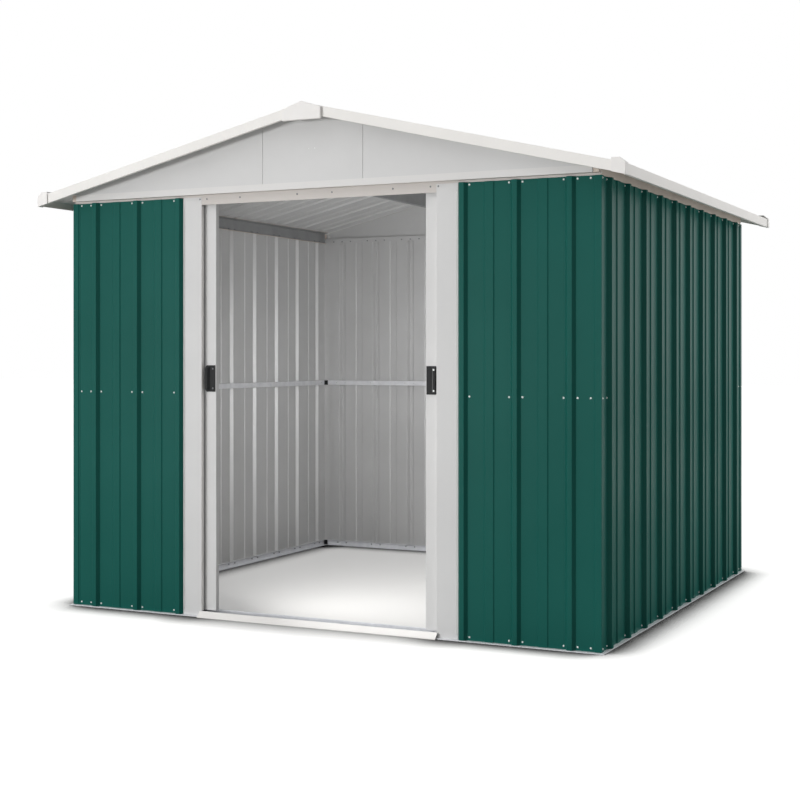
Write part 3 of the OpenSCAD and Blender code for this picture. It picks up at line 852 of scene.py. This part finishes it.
# moulded cover over each end of the ridge, with a hood that runs back over the cap
def makeRidgeCovers():
    c, gap = ridgeCover, frameSpec["gap"]
    y1 = -vergeY - gap
    w, peak = c["halfWidth"], ridgeZ + c["rise"]
    outline = [(-w, ridgeZ - c["low"]), (w, ridgeZ - c["low"]), (w, ridgeZ - c["side"]), (0, peak),
               (-w, ridgeZ - c["side"])]
    parts = []
    for matrix in (Matrix.Identity(4), halfTurn):
        face = cutPlate("cover", outline, y1 - c["depth"], y1, "whitePlastic")
        roundEdges(face, c["edge"], 3)
        x = c["hood"] * w
        hoodLine = [(-x, roofTop(x) + gap), (0, ridgeZ + gap), (x, roofTop(x) + gap), (0, peak)]
        hood = cutPlate("hood", hoodLine, y1 - c["hoodInto"], y1 + c["hoodBack"], "whitePlastic")
        parts.append(settle(joinPieces("cover", [face, smooth(hood)]), matrix))
    finished(joinPieces("moulded_ridge_end_caps", parts), "root", "white_moulding", "ridge_end_caps")


cornerCover = {"long": 0.046, "wide": 0.032, "up": 0.0075, "front": 0.004, "side": 0.0025, "flat": 0.6,
               "below": 0.002, "lowIn": 0.002, "sideUp": 0.001, "wall": 0.0018, "edge": 0.0022}


# moulded cover over each corner of the roof: a shell open at the back, below and towards the ridge
def makeCornerCovers():
    c, gap = cornerCover, frameSpec["gap"]
    x0 = eaveX - c["long"]
    x2 = eaveX + gap + c["side"]
    y0 = -vergeY - gap - c["front"]
    z0 = eaveZ - trimHeight - c["below"]
    top = roofTop(x0) + c["up"]
    outline = [(x0, z0 + c["long"] * roofSlope), (eaveX - c["lowIn"], z0), (x2, z0),
               (x2, eaveZ + gap + c["sideUp"]), (x0 + c["flat"] * c["long"], top), (x0, top)]
    parts = []
    for corner in range(4):
        mirror = corner in (1, 3)
        points = [(-x, z) for x, z in reversed(outline)] if mirror else outline
        part = cutPlate("cover", points, y0, y0 + c["wide"], "whitePlastic")
        inner = 1 if mirror else -1
        roundEdges(part, c["edge"], 3, lambda e: coverEdge(part, e, x0, y0 + c["wide"], z0))
        dropFaces(part, lambda f: max(f.normal.y, -f.normal.z, f.normal.x * inner) > facing)
        useModifier(part, "SOLIDIFY", thickness=c["wall"], offset=-1, use_even_offset=True)
        parts.append(settle(smooth(part, mouldedAngle), Matrix.Identity(4) if corner < 2 else halfTurn))
    finished(joinPieces("moulded_roof_corner_caps", parts), "root", "white_moulding", "roof_corner_caps")


# true for the outer edges of a corner cover, which are the ones to round
def coverEdge(part, edge, x0, y1, z0):
    a, b = (part.data.vertices[i].co for i in edge.vertices)
    middle = (a + b) / 2
    return abs(middle.x) > x0 + hair and middle.y < y1 - hair and middle.z > z0 + hair


makeRidgeCap()
makeFascias()
makeEaveTrims()
makeRidgeCovers()
makeCornerCovers()
print("roof edge: ridge, verges, eaves and covers")

# doors

doorSpec = {
    "thick": 0.001,
    "bend": 0.0016,
    "backLip": 0.014,
    "stile": 0.066,        # flat border each side of the bands
    "bands": 4,            # shallow sunk bands down the leaf
    "bandWidth": 0.040,
    "bandDepth": 0.003,
    "channelIn": 0.0004,   # the channels lie this far inside the two ends of the leaf,
    "frontGap": 0.0002,    # and stand off its front and its back
    "backGap": 0.0001,
}


# a pan with folded edges: its front skin and a channel in the top and the bottom
def makeDoor(node, body):
    d, t = doorSpec, doorSpec["thick"]
    low, high = (Vector(p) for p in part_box(node))
    x0, x1 = low.x, high.x
    front, back = -(low.y + halfD), -(high.y + halfD)
    pitch = (x1 - x0 - 2 * d["stile"]) / d["bands"]
    path = [(x0 + d["backLip"], back), (x0, back), (x0, front)]
    sunk, slope = front - d["bandDepth"], d["bandDepth"]
    for k in range(d["bands"]):
        c = x0 + d["stile"] + (k + 0.5) * pitch
        w = d["bandWidth"] / 2
        path += [(c - w, front), (c - w + slope, sunk), (c + w - slope, sunk), (c + w, front)]
    path += [(x1, front), (x1, back), (x1 - d["backLip"], back)]
    skin = foldSheet("skin", path, low.z, high.z, doorSpec, "whitePaint", segments=3)
    parts = [settle(skin, wallMatrix("front"))]
    inFront, inBack = front - t - d["bandDepth"] - d["frontGap"], back + t + d["backGap"]
    for z, leg in ((high.z - d["channelIn"], -d["backLip"]), (low.z + d["channelIn"], d["backLip"])):
        path = [(inBack, z + leg), (inBack, z), (inFront, z), (inFront, z + leg)]
        if leg > 0:
            path.reverse()
        channel = foldSheet("channel", path, x0 + t, x1 - t, doorSpec, "whitePaint")
        parts.append(settle(channel, railMatrix("front")))
    finished(joinPieces("folded_" + node, parts), body, "white_door", node)


makeDoor("door_left", "door_left")
makeDoor("door_right", "door_right")

runner = {
    "hangerLong": 0.050,
    "hangerWide": 0.020,
    "hangerHigh": 0.016,
    "hangerIn": 0.050,     # from each side of the leaf to the hanger
    "edge": 0.0016,
    "stemThick": 0.006,
    "stemIn": 0.010,       # from each end of the hanger to its stem
    "stemInto": 0.001,
    "stemEdge": 0.0006,
    "glideLong": 0.040,
    "glideWide": 0.014,
    "glideHigh": 0.012,
    "glideIn": 0.055,
    "glideEdge": 0.0007,
    "slotWide": 0.004,
    "slotHigh": 0.006,
}


# hangers that ride in the track and slotted glides that straddle the guide rib
def makeRunners(node, door):
    r = runner
    doorLow, doorHigh = (Vector(p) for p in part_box(door))
    low, high = (Vector(p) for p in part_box(node))
    middle = (doorLow + doorHigh) / 2
    halfLeaf = (doorHigh.x - doorLow.x) / 2
    y, under = middle.y, high.z - r["hangerHigh"]
    parts = []
    for sign in (-1, 1):
        half, wide = r["hangerLong"] / 2, r["hangerWide"] / 2
        x = middle.x + sign * (halfLeaf - r["hangerIn"] - half)
        parts.append(softBox("hanger", (x - half, y - wide, under), (x + half, y + wide, high.z), r["edge"],
                             "blackPlastic", 3))
        half, wide, top = half - r["stemIn"], r["stemThick"] / 2, under + r["stemInto"]
        parts.append(softBox("stem", (x - half, y - wide, doorHigh.z), (x + half, y + wide, top),
                             r["stemEdge"], "zinc"))
        half, wide, slot = r["glideLong"] / 2, r["glideWide"] / 2, r["slotWide"] / 2
        x = middle.x + sign * (halfLeaf - r["glideIn"] - half)
        top, slotTop = low.z + r["glideHigh"], low.z + r["slotHigh"]
        outline = [(-wide, low.z), (-slot, low.z), (-slot, slotTop), (slot, slotTop), (slot, low.z),
                   (wide, low.z), (wide, top), (-wide, top)]
        glide = roundEdges(cutPlate("glide", outline, -half, half, "blackPlastic"), r["glideEdge"])
        parts.append(settle(glide, Matrix.Translation((x, y, 0)) @ turned("Z", 90)))
    finished(joinPieces("moulded_" + node, parts), door, "dark_moulding", node)


makeRunners("door_runners_left", "door_left")
makeRunners("door_runners_right", "door_right")

handle = {
    "plate": 0.004,
    "chamfer": 0.006,
    "plateEdge": 0.0008,
    "gripInset": 0.0008,   # from the side of the plate to the foot of the grip
    "gripWidth": 0.020,
    "gripDepth": 0.014,
    "gripEnd": 0.006,
    "slopeOut": 0.003,     # how far the two sides of the grip lean
    "slopeIn": 0.008,
    "gripInto": 0.001,     # how far its foot goes into the plate
    "faceHigh": 0.93,      # height of its front, as a share of its foot
    "gripEdge": 0.0016,
    "screwUp": 0.0135,     # from each end of the plate to a screw
    "screwIn": 0.034,      # from the left side of the plate to a screw
}


# a flat moulded plate with a raised grip along the side away from the doorway
def makeHandle(node, body):
    h = handle
    low, high = (Vector(p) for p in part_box(node))
    face = low.y + h["gripDepth"]
    outer, inner = (low.x, high.x) if node.endswith("left") else (high.x, low.x)
    side = 1 if inner > outer else -1
    cut = h["chamfer"]
    cutX = outer + side * cut
    outline = [(outer, low.z + cut), (cutX, low.z), (inner, low.z), (inner, high.z), (cutX, high.z),
               (outer, high.z - cut)]
    plate = roundEdges(cutPlate("plate", outline, face - h["plate"], face, "blackPlastic"), h["plateEdge"])
    foot = outer + side * h["gripInset"]
    far = foot + side * h["gripWidth"]
    z0, z1 = low.z + h["gripEnd"], high.z - h["gripEnd"]
    grip = cutPlate("grip", [(foot, z0), (far, z0), (far, z1), (foot, z1)], low.y,
                    face - h["plate"] + h["gripInto"], "blackPlastic")
    # draws the front of the grip in to a smaller face than its foot
    openEdit(grip, "VERT", lambda v: v.co.y < low.y + hair)
    bpy.ops.transform.translate(value=(side * (h["slopeOut"] - h["slopeIn"]) / 2, 0, 0))
    scaleX = 1 - (h["slopeOut"] + h["slopeIn"]) / h["gripWidth"]
    bpy.ops.transform.resize(value=(scaleX, 1, h["faceHigh"]))
    closeEdit()
    roundEdges(grip, h["gripEdge"], 3)
    finished(joinPieces("moulded_" + node, [settle(plate), settle(grip)]), body, "black_handle", node)


makeHandle("door_handle_left", "door_left")
makeHandle("door_handle_right", "door_right")
print("doors: 2 leaves with runners and handles")

# fasteners

fastener = {
    "washer": 0.0036,
    "washerThick": 0.0006,
    "head": 0.0026,
    "headHigh": 0.0018,
    "edge": 0.0006,
    "recess": 0.0006,
    "recessSlope": 0.0001,
    "recessDeep": 0.0008,
    "nut": 0.0034,
    "nutHigh": 0.0026,
    "nutEdge": 0.0005,
    "nutRise": 0.0004,
    "nutRing": 0.0012,     # from the rim of the nut to its screw
    "nutScrew": 0.0018,
    "tip": 0.0013,
    "tipLong": 0.0022,
    "pointLong": 0.0016,
    "pointShare": 0.25,    # end of the point, as a share of the screw
    "ribSide": 0.0255,     # from the middle of a rib to the screws beside it
    "cornerIn": 0.036,
    "rows": (0.016, 0.8695, 1.6215),
    "sideEnd": 0.0436,     # from the far corner of a side wall to its last screw
    "panelIn": 0.005,      # no front screw is closer than this to the doorway end of its panel
    "nutIn": 0.045,        # a screw closer than this to a corner has no nut
    "trimIn": 0.0075,
    "railTop": 1.6387,     # one more screw near each end of the side rails
}


# a round or six-sided blank standing up along z, left open with its top face selected
def openBlank(sides, radius, high):
    middle = (0, 0, high / 2)
    bpy.ops.mesh.primitive_cylinder_add(vertices=sides, radius=radius, depth=high, location=middle)
    blank = settle(bpy.context.object)
    openEdit(blank, "FACE", lambda p: p.normal.z > facing)
    return blank


def raiseFace(high):
    bpy.ops.mesh.extrude_region_move(TRANSFORM_OT_translate={"value": (0, 0, high)})


# draws the selected face in, and then up or down
def insetFace(width, rise=0.0):
    bpy.ops.mesh.inset(thickness=width)
    if rise:
        bpy.ops.transform.translate(value=(0, 0, rise))


# a pan-head screw with its washer and drive recess
def screwMaster(finish):
    f = fastener
    washer = openBlank(14, f["washer"], f["washerThick"])
    insetFace(f["washer"] - f["head"])
    raiseFace(f["headHigh"] - f["edge"])
    insetFace(f["edge"], f["edge"])
    insetFace(f["head"] - f["edge"] - f["recess"])
    insetFace(f["recessSlope"], -f["recessDeep"])
    closeEdit()
    return smooth(coat(washer, finish), 50)


# a hexagon nut with the end of its screw
def nutMaster(finish):
    f = fastener
    nut = openBlank(6, f["nut"], f["nutHigh"])
    insetFace(f["nutEdge"], f["nutRise"])
    insetFace(f["nutRing"])
    raiseFace(f["nutScrew"])
    closeEdit()
    return smooth(coat(nut, finish), 30)


# the point of a screw where it comes through a middle rail
def tipMaster(finish):
    f = fastener
    tip = openBlank(10, f["tip"], f["tipLong"])
    raiseFace(f["pointLong"])
    bpy.ops.transform.resize(value=(f["pointShare"], f["pointShare"], 1))
    closeEdit()
    return smooth(coat(tip, finish), 30)


def scatter(name, master, matrices, body="root"):
    parts = [copyOf(master, matrix) for matrix in matrices]
    finished(joinPieces(name, parts), body, "galvanised_frame")


# two places on a wall: one on its face, and one behind it that points into the shed
def across(wall, u, z, out=0.0):
    return wallMatrix(wall) @ Matrix.Translation((u, z, out))


def inwards(wall, u, z, depth):
    return wallMatrix(wall) @ Matrix.Translation((u, z, -depth)) @ turned("X", 180)


# screws stand beside each main rib and near each corner, in three rows
def wallRow(wall):
    f = fastener
    half = wallReach(wall)[0]
    start = 0 if wall in ("front", "rear") else sideStart
    places = []
    for centre, main in ribPlaces(-half, half, start, half - sheetSpec["cornerClear"]):
        if main:
            places += [centre - f["ribSide"], centre + f["ribSide"]]
    if wall in ("front", "rear"):
        places += [-half + f["cornerIn"], half - f["cornerIn"]]
    else:
        places.append(half - f["sideEnd"])
    if wall == "front":
        places = [u for u in places if abs(u) > panelEnd + f["panelIn"]]
    return sorted(places)


def makeFasteners():
    f = fastener
    whiteHead = screwMaster("screwPaint")
    steelHead = screwMaster("screwSteel")
    nut = nutMaster("screwSteel")
    tip = tipMaster("screwSteel")
    for wall in wallTurn:
        row = wallRow(wall)
        half = wallReach(wall)[0]
        low, middle, high = f["rows"]
        heads = [across(wall, u, z) for u in row for z in (low, high)]
        # a side wall is screwed to its middle rail at the two ends only
        middleRow = row if wall in ("front", "rear") else [row[0], row[-1]]
        heads += [across(wall, u, middle) for u in middleRow]
        if wall in ("left", "right"):
            for sign in (-1, 1):
                u = sign * (half - f["trimIn"])
                heads += [across(wall, u, z, cornerTrim["proud"]) for z in f["rows"]]
                heads.append(across(wall, u, f["railTop"], -sheetSpec["thick"]))
        scatter("wall_screws_" + wall, whiteHead, heads)
        inside = [u for u in row if abs(u) < half - f["nutIn"]]
        railBack = sheetSpec["thick"] + midRail["depth"]
        tips = [inwards(wall, u, middle, railBack) for u in middleRow if u in inside]
        nuts = [inwards(wall, u, low, innerFace) for u in inside]
        # the rear rail has a nut at each rib and one further out on both sides
        top = {round(u + step, 4) for u in inside for step in (-f["ribSide"], f["ribSide"])}
        nuts += [inwards(wall, u, high, innerFace) for u in (sorted(top) if wall == "rear" else inside)]
        scatter("wall_nuts_" + wall, nut, nuts)
        scatter("wall_screw_tips_" + wall, tip, tips)
    print("wall screws and nuts: 4 walls")
    return whiteHead, steelHead, nut, tip


headerScrews = {"z": 1.622, "places": (0.075, 0.329, 0.481, 0.5125)}
gableRivets = {"x": 0.013, "z": 1.787, "size": 0.6}


def makeHeaderScrews(steelHead, whiteHead):
    out = -sheetSpec["thick"]
    heads = []
    for u in headerScrews["places"]:
        for sign in (-1, 1):
            face = 0 if u > jambIn else out
            heads.append(across("front", sign * u, headerScrews["z"], face))
    scatter("header_screws", steelHead, heads)
    small = Matrix.Scale(gableRivets["size"], 4)
    rivets = [across(end, sign * gableRivets["x"], gableRivets["z"], gableFace) @ small
              for end in ("front", "rear") for sign in (-1, 1)]
    scatter("gable_rivets", whiteHead, rivets)


roofScrews = {"ridgeRow": 0.050, "railIn": 0.013, "endClear": 0.03}


# rows of screws through the roof flats into the ridge, the beams and the side rails
def makeRoofScrews(whiteHead):
    r = roofScrews
    heads = []
    for side in ("right", "left"):
        for x in (r["ridgeRow"], beamLow.x + r["railIn"], halfW - r["railIn"]):
            down = x / math.cos(slopeAngle)
            for centre, main in ribPlaces(-vergeY, vergeY, sideStart, vergeY - r["endClear"]):
                if main:
                    for u in (centre - fastener["ribSide"], centre + fastener["ribSide"]):
                        heads.append(slopeMatrix(side) @ Matrix.Translation((u, -down, roofFlat)))
    scatter("roof_screws", whiteHead, heads)


def makeHandleScrews(steelHead, whiteHead):
    h = handle
    for node, body, head in (("door_handle_left", "door_left", steelHead),
                             ("door_handle_right", "door_right", whiteHead)):
        low, high = (Vector(p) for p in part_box(node))
        x = low.x + h["screwIn"]
        plateFace = -(low.y + h["gripDepth"] - h["plate"] + halfD)
        gripFace = -(low.y + halfD)
        out = plateFace if node.endswith("left") else gripFace
        heads = [across("front", x, z, out) for z in (low.z + h["screwUp"], high.z - h["screwUp"])]
        scatter("handle_screws_" + body[5:], head, heads, body)


whiteHead, steelHead, nutMesh, tipMesh = makeFasteners()
makeHeaderScrews(steelHead, whiteHead)
makeRoofScrews(whiteHead)
makeHandleScrews(steelHead, whiteHead)
for master in (whiteHead, steelHead, nutMesh, tipMesh):
    bpy.data.objects.remove(master)
print("fasteners done")

# floor, light and camera

studio = {
    "floorSize": 80,
    "floorTone": (0.62, 0.61, 0.59),
    "floorRough": 0.9,
    "samples": 12,
    "floorGlow": 0.80,     # lifts the lit floor to white for the camera, and keeps its shadows
    "contactReach": 0.18,
    "contactFrom": 0.588,
    "contactTo": 0.96,
    "contactDark": 0.01,
    "coverReach": 2.5,     # what stands under the eaves is lifted less, a painted shade
    "coverFrom": 0.05,
    "coverTo": 0.55,
    "coverDark": 0.40,
    "indoors": 0.41,       # share of the lift between the walls, a painted shade on the floor inside
    # painted shade on the floor's colour between the walls
    "indoorShade": 0.72,
    "rampReach": 0.17,     # painted soft shadow around the ramp, which is too low to cast one
    "rampDark": 0.34,
    "sky": 0.26,
    "key": {"place": (-5.2, -11.0, 0.9), "aim": (0.0, -1.0, 1.0), "size": (4.5, 1.8), "power": 550.0},
    "sheenPower": 165.0,   # the sheen box stands where the key does
    "side": {"place": (5.5, 7.0, 0.8), "aim": (1.1, 0.0, 1.0), "size": (2.8, 1.4), "power": 330.0},
    "sun": {"from": (-3.0, -6.0, 7.0), "spread": 60, "strength": 0.8},
    "backSun": {"from": (3.0, 7.0, 7.0), "spread": 60, "strength": 0.6},
    "inside": {"place": (-0.3, -0.84, 0.9), "aim": (0.5, 0.2, 0.8), "size": (0.36, 1.0), "power": 18.0},
}


# a Math node on two sockets or plain values
def reckon(tree, operation, first, second=0.0, clamp=False):
    return addNode(tree, "Math", {0: first, 1: second}, operation=operation, use_clamp=clamp).outputs[0]


# a painted shade: a share of light that rises from the dark value to one, as the floor is more open around
def makeShade(tree, kind):
    s = studio
    near = addNode(tree, "AmbientOcclusion", {"Distance": s[kind + "Reach"]}, samples=s["samples"])
    shade = addNode(tree, "MapRange", {"Value": near.outputs["AO"], "From Min": s[kind + "From"],
                                       "From Max": s[kind + "To"], "To Min": s[kind + "Dark"]})
    return shade.outputs["Result"]


def makeFloor():
    s = studio
    bpy.ops.mesh.primitive_plane_add(size=s["floorSize"])
    floor = bpy.context.object
    floor.name = "studio_floor"
    material, tree = newMaterial("studioFloor")
    shader = tree.nodes["Principled BSDF"]
    shader.inputs["Roughness"].default_value = s["floorRough"]
    shader.inputs["Specular IOR Level"].default_value = 0.0
    place = addNode(tree, "TexCoord", {}).outputs["Object"]
    # the distance to the ramp, seen as a rectangle on the floor, for the painted shadow around it
    reach = Vector((jambIn + ramp["over"], ramp["depth"] / 2, 0))
    middle = Vector((0, -halfD - reach.y, 0))
    away = place
    none = Vector((0, 0, 0))
    for kind, value in (("SUBTRACT", middle), ("ABSOLUTE", none), ("SUBTRACT", reach), ("MAXIMUM", none)):
        away = addNode(tree, "VectorMath", {0: away, 1: value}, operation=kind).outputs["Vector"]
    gap = addNode(tree, "VectorMath", {0: away}, operation="LENGTH").outputs["Value"]
    edge = addNode(tree, "MapRange", {"Value": gap, "From Max": s["rampReach"], "To Min": s["rampDark"]})
    # the narrow painted contact shadow where the shed meets the floor
    dark = reckon(tree, "MULTIPLY", makeShade(tree, "contact"), edge.outputs["Result"])
    # between the walls the lift is one plain share, and the floor is painted a little darker, a painted
    # shade
    parted = addNode(tree, "SeparateXYZ", {0: place})
    between = []
    for axis, half in (("X", halfW), ("Y", halfD)):
        size = reckon(tree, "ABSOLUTE", parted.outputs[axis])
        between.append(reckon(tree, "LESS_THAN", size, half - floorRail["depth"]))
    indoors = reckon(tree, "MULTIPLY", *between)
    lifted = addNode(tree, "Mix", {"Factor": indoors, "A": makeShade(tree, "cover"), "B": s["indoors"]})
    tone = addNode(tree, "MapRange", {"Value": indoors, "To Min": 1.0, "To Max": s["indoorShade"]})
    shaded = reckon(tree, "MULTIPLY", dark, tone.outputs["Result"])
    paint = addNode(tree, "VectorMath", {0: s["floorTone"], "Scale": shaded}, operation="SCALE")
    tree.links.new(paint.outputs["Vector"], shader.inputs["Base Color"])
    # the lift is for the camera alone
    seen = addNode(tree, "LightPath", {}).outputs["Is Camera Ray"]
    both = reckon(tree, "MULTIPLY", dark, lifted.outputs["Result"])
    lift = reckon(tree, "MULTIPLY", seen, reckon(tree, "MULTIPLY", both, s["floorGlow"]))
    glow = addNode(tree, "Emission", {"Strength": lift})
    total = addNode(tree, "AddShader", {0: shader.outputs[0], 1: glow.outputs[0]})
    tree.links.new(total.outputs[0], tree.nodes["Material Output"].inputs["Surface"])
    floor.data.materials.append(material)


# white to the eye and in every reflection, and a dimmer light on everything else
def makeSky():
    world = bpy.data.worlds.new("sky")
    bpy.context.scene.world = world
    world.use_nodes = True
    tree = world.node_tree
    path = addNode(tree, "LightPath", {}).outputs
    seen = reckon(tree, "ADD", path["Is Camera Ray"], path["Is Glossy Ray"], clamp=True)
    through = reckon(tree, "ADD", seen, path["Is Transmission Ray"], clamp=True)
    strength = addNode(tree, "MapRange", {"Value": through, "To Min": studio["sky"], "To Max": 1.0})
    background = tree.nodes["Background"]
    background.inputs["Color"].default_value = (1, 1, 1, 1)
    tree.links.new(strength.outputs["Result"], background.inputs["Strength"])


def makeSun(name, spec):
    bpy.ops.object.light_add(type="SUN", location=spec["from"])
    lamp = bpy.context.object
    lamp.name = name
    lamp.data.energy = spec["strength"]
    lamp.data.angle = math.radians(spec["spread"])
    lamp.rotation_euler = (-Vector(spec["from"])).to_track_quat("-Z", "Y").to_euler()


# a low soft box, so that the roof edge throws no broad shadow; the camera doesn't see the box itself
def makeSoftBox(name, spec):
    bpy.ops.object.light_add(type="AREA", location=spec["place"])
    lamp = bpy.context.object
    lamp.name = name
    lamp.data.shape = "RECTANGLE"
    lamp.data.size, lamp.data.size_y = spec["size"]
    lamp.data.energy = spec["power"]
    lamp.rotation_euler = (Vector(spec["aim"]) - Vector(spec["place"])).to_track_quat("-Z", "Y").to_euler()
    lamp.visible_camera = False
    # the key and the side box only light, and the sheen box shows only as a gloss on the paint
    lamp.visible_glossy = name in ("inside", "sheen")
    lamp.visible_diffuse = name != "sheen"


view = {"place": (2.679, -5.611, 1.018), "turn": 24.99, "lens": 63.76, "sensor": 36,
        "shiftX": -0.0561, "shiftY": -0.0566}


def makeCamera():
    bpy.ops.object.camera_add(location=view["place"], rotation=(math.pi / 2, 0, math.radians(view["turn"])))
    camera = bpy.context.object
    camera.data.lens = view["lens"]
    camera.data.sensor_width = view["sensor"]
    camera.data.shift_x = view["shiftX"]
    camera.data.shift_y = view["shiftY"]
    bpy.context.scene.camera = camera


makeFloor()
makeSky()
makeSun("sun", studio["sun"])
makeSun("back_sun", studio["backSun"])
makeSoftBox("key", studio["key"])
makeSoftBox("sheen", dict(studio["key"], power=studio["sheenPower"]))
makeSoftBox("side", studio["side"])
makeSoftBox("inside", studio["inside"])
makeCamera()
print("studio: floor, sky, 6 lamps and camera")
bpy.context.scene.view_settings.view_transform = "Standard"
